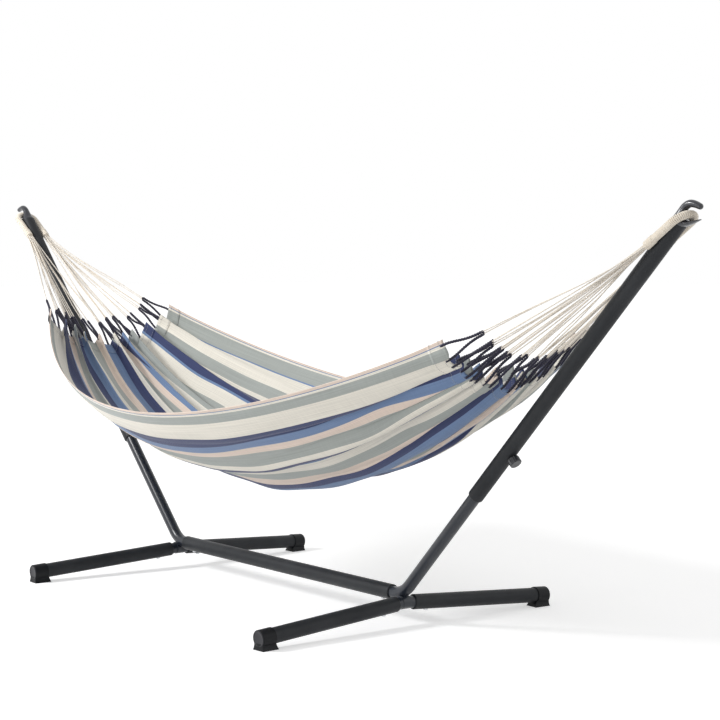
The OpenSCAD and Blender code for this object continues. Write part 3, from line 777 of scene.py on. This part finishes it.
cloth = {
    "thickness": 0.0020, "rows": 140, "rowSpread": 0.93, "columns": 330, "samples": 1500,
    "cusp": 0.07, "bulge": 0.09, "uneven": 0.2, "gather": 0.022, "gatherReach": 0.30, "tuck": 0.10,
    "pleats": 0.0034, "softWaves": 0.0075, "creases": 0.0016, "calmHem": 0.3,
    "scallop": 0.008, "scallopReach": 0.09, "attach": 20,
}
# waves and creases: size, turns across and along the cloth, start; pleats end with their reach instead
waveRng = np.random.default_rng(5)
waves = [(waveRng.uniform(0.6, 1.3), waveRng.uniform(1.5, 6.0), waveRng.uniform(-0.5, 0.5),
          waveRng.uniform(0, 6.28)) for _ in range(5)]
sizes = {sign: 1 + cloth["uneven"] * waveRng.uniform(-1, 1, hang["folds"] + 1) for sign in (-1, 1)}
pleatRows = {sign: [(waveRng.uniform(0.5, 1), waveRng.uniform(2.2, 4.6), waveRng.uniform(0, 6.28),
                     waveRng.uniform(0.10, 0.60)) for _ in range(6)] for sign in (-1, 1)}
creases = [(waveRng.uniform(0.4, 1.0), waveRng.uniform(3.0, 8.0),
            waveRng.choice([-1, 1]) * waveRng.uniform(1.5, 4.0), waveRng.uniform(0, 6.28))
           for _ in range(7)]


def ripples(rows, x, t):  # the height of all waves or creases at one place
    return sum(a * np.cos(f * t * 0.6 + 6.28 * g * x + p) for a, f, g, p in rows)


def clothLine(x, t):  # points across the cloth at x, at places t counted in folds from the front edge
    sign = -1 if x < 0 else 1
    folds = hang["folds"]
    hem = min(abs(x), hemX) / hemX  # 0 in the middle, 1 at the hem
    away = hemX - abs(x)
    openness = 1 - hem ** 2
    half = hang["hemHalf"] + (hang["midHalf"] - hang["hemHalf"]) * openness
    rise = hang["hemRise"] + (hang["midRise"] - hang["hemRise"]) * openness
    drift = hang["foldDrift"] * hem * np.sin(math.pi * hang["foldTurns"] * t / folds)
    u = 2 / folds * (t + drift) - 1
    depth = hang["foldDepth"] * (hang["foldRest"] + (1 - hang["foldRest"]) * hem ** 1.5)
    size = 1 + (np.interp(t, np.arange(folds + 1), sizes[sign]) - 1) * smooth(0, 0.5, hem)
    lobe = np.sqrt(np.sin(math.pi * t) ** 2 + cloth["cusp"] ** 2)
    near = np.exp(-away / cloth["gatherReach"])
    fold = depth * size * (2 / math.pi - lobe) + cloth["gather"] * near * np.clip(1 - lobe, 0, 1) ** 1.5
    pitch = 2 * half / folds
    side = -np.sin(2 * math.pi * t) * pitch * (cloth["bulge"] * hem ** 2 + cloth["tuck"] * near)
    pleat = sum(a * np.exp(-away / reach) * np.cos(f * 2 * t + p) for a, f, p, reach in pleatRows[sign])
    calm = (1 - np.abs(u) ** 8) * smooth(0.0, cloth["calmHem"], away)  # none at the edges and hems
    loose = ripples(waves, x, t) * cloth["softWaves"] + ripples(creases, x, t) * cloth["creases"]
    lift = fold + pleat * cloth["pleats"] + loose * calm
    tilt = np.arctan2(2 * rise * u, half)
    return np.stack([np.full_like(t, x), half * u + side * np.cos(tilt),
                     hang["bedLow"] + lineK * x * x + rise * u * u + lift + side * np.sin(tilt)], 1)


def clothRow(x, count):  # the same, evenly spread over the cloth's own width
    points = clothLine(x, np.linspace(0, hang["folds"], cloth["samples"]))
    run = np.concatenate([[0], np.cumsum(np.linalg.norm(np.diff(points, axis=0), axis=1))])
    share = np.linspace(0, 1, count)
    even = np.stack([np.interp(share * run[-1], run, points[:, k]) for k in range(3)], 1)
    # the hem is pulled out a little where each cord holds it
    hold = np.interp(share * run[-1], run, np.linspace(0, 1, cloth["samples"]))
    fade = 1 - smooth(0, cloth["scallopReach"], hemX - abs(x))
    tug = np.cos(2 * math.pi * cloth["attach"] * hold) * cloth["scallop"] * fade
    even[:, 0] -= math.copysign(1, x) * tug
    return even


def clothRows(xs, count):
    grid = np.stack([clothRow(x, count) for x in xs])
    return grid, unit(np.cross(np.gradient(grid, axis=0), np.gradient(grid, axis=1)))


def thicken(piece, thickness):
    wall = piece.modifiers.new("wall", "SOLIDIFY")
    wall.thickness = thickness
    wall.offset = 0


def clothPiece(name, xs, thickness):
    count = cloth["columns"]
    grid, normal = clothRows(xs, count)
    share = np.linspace(0, 1, count)
    steps = np.linalg.norm(np.diff(grid[:, count // 2], axis=0), axis=1)
    length = np.concatenate([[0], np.cumsum(steps)])
    start = -length[np.argmin(np.abs(xs))] if xs[0] < 0 < xs[-1] else xs[0]
    uv = np.stack(np.meshgrid(share * hang["clothWidth"], start + length), -1).reshape(-1, 2)
    piece = meshPiece(name, grid.reshape(-1, 3), gridFaces(len(xs), count), "stripedFabric", uv)
    thicken(piece, thickness)
    return asMesh(piece, name), length[-1]


# the rows lie closer together towards the hems
turns = np.linspace(-1, 1, cloth["rows"]) * math.pi / 2 * cloth["rowSpread"]
stations = hemX * np.sin(turns) / math.sin(math.pi / 2 * cloth["rowSpread"])
bed, bedLength = clothPiece("hammockCloth", stations, cloth["thickness"])
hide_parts("hammock_bed")
softPieces = [bed]
print("stage: cloth", round(bedLength, 3), "m long,", len(bed.data.polygons), "faces")


hem = {
    "width": 0.042, "thickness": 0.0052, "overhang": 0.002, "rows": 10,
    "stitchRows": (0.010, 0.036), "stitchPoints": 700, "stitchLength": 0.0045, "stitchStep": 0.0065,
    "threadRadius": 0.0007, "threadLift": 0.0002,
}
hemPieces = []


def makeHem(side, sign):
    xs = sign * (hemX - np.linspace(hem["width"], -hem["overhang"], hem["rows"]))
    band = clothPiece(f"{side}Hem", xs if sign > 0 else xs[::-1], hem["thickness"])[0]
    rows = []
    for d in hem["stitchRows"]:
        beside = sign * (hemX - np.array([d + 0.001, d, d - 0.001]))
        grid, normal = clothRows(beside, hem["stitchPoints"])
        for face in (-1, 1):
            rows.append(grid[1] + face * normal[1] * (hem["thickness"] / 2 + hem["threadLift"]))
    stitches = runTree(pathsObject("rows", rows), stitchRow, f"{side}HemStitches",
                       Stitch_Length=hem["stitchLength"], Thread_Radius=hem["threadRadius"],
                       Step=hem["stitchStep"], Material=materials["hemThread"])
    hemPieces.extend([band, stitches])


for side, sign in sides.items():
    makeHem(side, sign)
print("stage: hems and stitches")


# cords, whippings and rope loops

pull = np.array([-math.cos(hang["pullAngle"]), 0, -math.sin(hang["pullAngle"])])
across = np.array([0.0, 1.0, 0.0])
upward = np.array([0.0, 0.0, 1.0])
loopTip = np.array([hang["loopTipX"], 0, hang["loopTipZ"]])
legEnds = [loopTip + k * hang["loopHalf"] * across for k in (-1, 1)]

ropeLoop = {
    "coreStrand": 0.006, "coreOffset": 0.0028, "coreTwist": 5.0, "coreStep": 0.006,
    "windRadius": 0.0098, "windCord": 0.0024, "pitch": 0.0046,
    "bindLength": 0.034, "bindLift": 0.0022, "bindCord": 0.0017, "bindPitch": 0.0034,
}


def loopPath():  # from the end of one leg through the hook to the end of the other
    turn = np.array([hang["biteX"], 0, hang["biteZ"]]) + hang["loopHalf"] * pull
    w = np.linspace(-90, 90, 41)[:, None] * math.pi / 180
    arc = turn + hang["loopHalf"] * (np.sin(w) * across - np.cos(w) * pull)
    reach = np.linspace(0, 0.97, 24)[:, None]
    leg = loopTip - hang["loopHalf"] * across + reach * (turn - loopTip)
    return np.vstack([leg, arc, leg[::-1] * np.array([1, -1, 1])])


def makeLoop(side, flip):  # a core, its winding, and a second layer that binds each leg's end
    rope = materials["wrappedRope"]
    path = loopPath() * flip
    core = runTree(pathsObject("core", [path]), twistedCord, f"{side}LoopCore", Strands=3,
                   Strand_Radius=ropeLoop["coreStrand"], Strand_Offset=ropeLoop["coreOffset"],
                   Twist_Length=ropeLoop["coreTwist"], Step=ropeLoop["coreStep"], Sides=12, Material=rope)
    wind = runTree(pathsObject("wind", [path]), woundCord, f"{side}LoopWinding",
                   Winding_Radius=ropeLoop["windRadius"], Cord_Radius=ropeLoop["windCord"],
                   Pitch=ropeLoop["pitch"], Points_Per_Turn=16, Sides=6, Material=rope)
    ends = [np.stack([e - pull * ropeLoop["bindLength"] * t for t in np.linspace(0, 1, 12)]) * flip
            for e in legEnds]
    binding = runTree(pathsObject("ends", ends), woundCord, f"{side}LoopBinding",
                      Winding_Radius=ropeLoop["windRadius"] + ropeLoop["bindLift"],
                      Cord_Radius=ropeLoop["bindCord"], Pitch=ropeLoop["bindPitch"],
                      Points_Per_Turn=18, Sides=6, Material=rope)
    return core, wind, binding


harness = {
    "cords": 20, "cordStrand": 0.0012, "cordTwist": 0.024, "cordStep": 0.006, "pair": 0.0035, "sag": 0.007,
    "swapped": ((4, 5), (9, 10), (13, 14)),  # neighbours that cross on their way to the loop
    "rootWidth": 0.019, "rootHeight": 0.0030, "rootDepth": 0.011,  # how they sit in a bound end
    "fromHem": 0.009, "spread": 0.15, "whipLength": 0.140, "whipStrand": 0.0025, "whipTwist": 0.026,
    "whipStep": 0.0042,
}


def bezier(a, b, c, d, n):
    t = np.linspace(0, 1, n)[:, None]
    return (1 - t) ** 3 * a + 3 * (1 - t) ** 2 * t * b + 3 * (1 - t) * t * t * c + t ** 3 * d


def whipPath(a, b, mid, spot, rng):  # a narrow loop from two places on the hem towards its spot
    run = spot - mid
    run = run / np.linalg.norm(run)
    length = harness["whipLength"] * rng.uniform(0.80, 1.10)
    tip = mid + run * length
    sideways = unit(b - a)
    bow = np.cross(run, sideways) * rng.uniform(-0.006, 0.006)
    w = harness["whipStrand"] * 1.9
    legs = [bezier(p, p + run * length * 0.3 + s * sideways * 0.003 + bow,
                   tip - run * length * 0.5 + s * sideways * rng.uniform(0.002, 0.005) + bow,
                   tip - run * 0.008 + s * sideways * w, 30)
            for s, p in ((-1, a), (1, b))]
    top = np.array([tip + run * 0.002 * math.cos(t) + sideways * w * math.sin(t)
                    for t in np.linspace(-1.2, 1.2, 7)])
    return np.vstack([legs[0], top, legs[1][::-1]]), tip - run * 0.004, sideways


def cordPaths(mid, spot, finish, sideways, rng):  # two thin cords from each dark loop
    start = spot - pull * harness["rootDepth"]
    gap = np.linalg.norm(finish - start)
    sag = harness["sag"] * rng.uniform(0.2, 1.2)
    t = np.linspace(0, 1, 40)
    bend = np.sin(math.pi * t)
    paths = []
    for s in (-1, 1):
        far = finish + s * sideways * harness["pair"]
        line = bezier(start, start + pull * gap * rng.uniform(0.10, 0.22),
                      far - unit(mid - spot) * gap * 0.3, far, 40)
        wander = np.sin(2 * math.pi * t * rng.uniform(0.8, 1.6) + rng.uniform(0, 6)) * bend
        line = line - (sag * bend)[:, None] * upward
        paths.append(line + wander[:, None] * sideways * rng.uniform(0.001, 0.004))
    return paths


def makeHarness(side, sign):
    rng = np.random.default_rng(41 if sign < 0 else 42)
    flip = np.array([sign, 1, 1])
    core, wind, binding = makeLoop(side, flip)
    whips, lines = [], []
    n = harness["cords"]
    order = np.arange(n)
    for a, b in harness["swapped"]:
        order[[a, b]] = order[[b, a]]
    for i in range(n):
        at = (i + 0.5) * hang["folds"] / n
        beside = at + harness["spread"] * np.array([-1, 1])
        a, b = clothLine(sign * (hemX - harness["fromHem"]), beside) * flip
        mid = (a + b) / 2
        leg, j = divmod(order[i], n // 2)
        spot = (legEnds[leg] + (j / (n // 2 - 1) - 0.5) * harness["rootWidth"] * across
                + (1 if j % 2 else -1) * harness["rootHeight"] * upward)
        whip, finish, sideways = whipPath(a, b, mid, spot, rng)
        whips.append(whip * flip)
        lines += [line * flip for line in cordPaths(mid, spot, finish, sideways, rng)]
    whipping = runTree(pathsObject("whips", whips), twistedCord, f"{side}Whippings", Strands=3,
                       Strand_Radius=harness["whipStrand"], Strand_Offset=harness["whipStrand"],
                       Twist_Length=harness["whipTwist"], Step=harness["whipStep"], Sides=8,
                       Material=materials["whippingCord"])
    cord = runTree(pathsObject("lines", lines), twistedCord, f"{side}Cords", Strands=3,
                   Strand_Radius=harness["cordStrand"], Strand_Offset=harness["cordStrand"] * 0.95,
                   Twist_Length=harness["cordTwist"], Step=harness["cordStep"], Sides=6,
                   Material=materials["cottonCord"])
    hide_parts(f"{side}_whippings")
    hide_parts(f"{side}_cords")
    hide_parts(f"{side}_rope_loop")
    for piece in (core, wind, binding):
        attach(piece, f"{side}_arm")
    softPieces.extend([whipping, cord])


for side, sign in sides.items():
    makeHarness(side, sign)
print("stage: loops, cords and whippings")


# the bare label on the front edge

label = {
    "length": 0.048, "width": 0.022, "thickness": 0.0016, "edge": 0.0005, "root": 0.004, "droop": 0.006,
    "columns": 14, "rows": 9,
}


def makeLabel():
    low, high = (np.array(c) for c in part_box("edge_label"))
    centre = (low + high) / 2
    half = label["length"] / 2
    columns, rows = label["columns"], label["rows"]
    grid = []
    for x in np.linspace(centre[0] - half, centre[0] + half, columns):
        a, b = clothRow(x, 60)[:2]
        out = unit(a - b)
        grid.append([a - out * label["root"] + out * t * label["width"]
                     - upward * (t ** 1.6) * label["droop"] for t in np.linspace(0, 1.1, rows)])
    uv = np.stack(np.meshgrid(np.linspace(0, label["width"], rows),
                              np.linspace(0, label["length"], columns)), -1).reshape(-1, 2)
    piece = meshPiece("edgeLabel", np.array(grid).reshape(-1, 3), gridFaces(columns, rows), "labelFabric", uv)
    thicken(piece, label["thickness"])
    edge = piece.modifiers.new("edge", "BEVEL")
    edge.width = label["edge"]
    edge.segments = 2
    piece = asMesh(piece, "edgeLabel")
    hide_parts("edge_label")
    return piece


softPieces += [makeLabel()] + hemPieces
print("stage: label")


# the cloth, hems, label, whippings and cords ride on the hammock

for piece in softPieces:
    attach(piece, "hammock")
    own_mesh(piece)
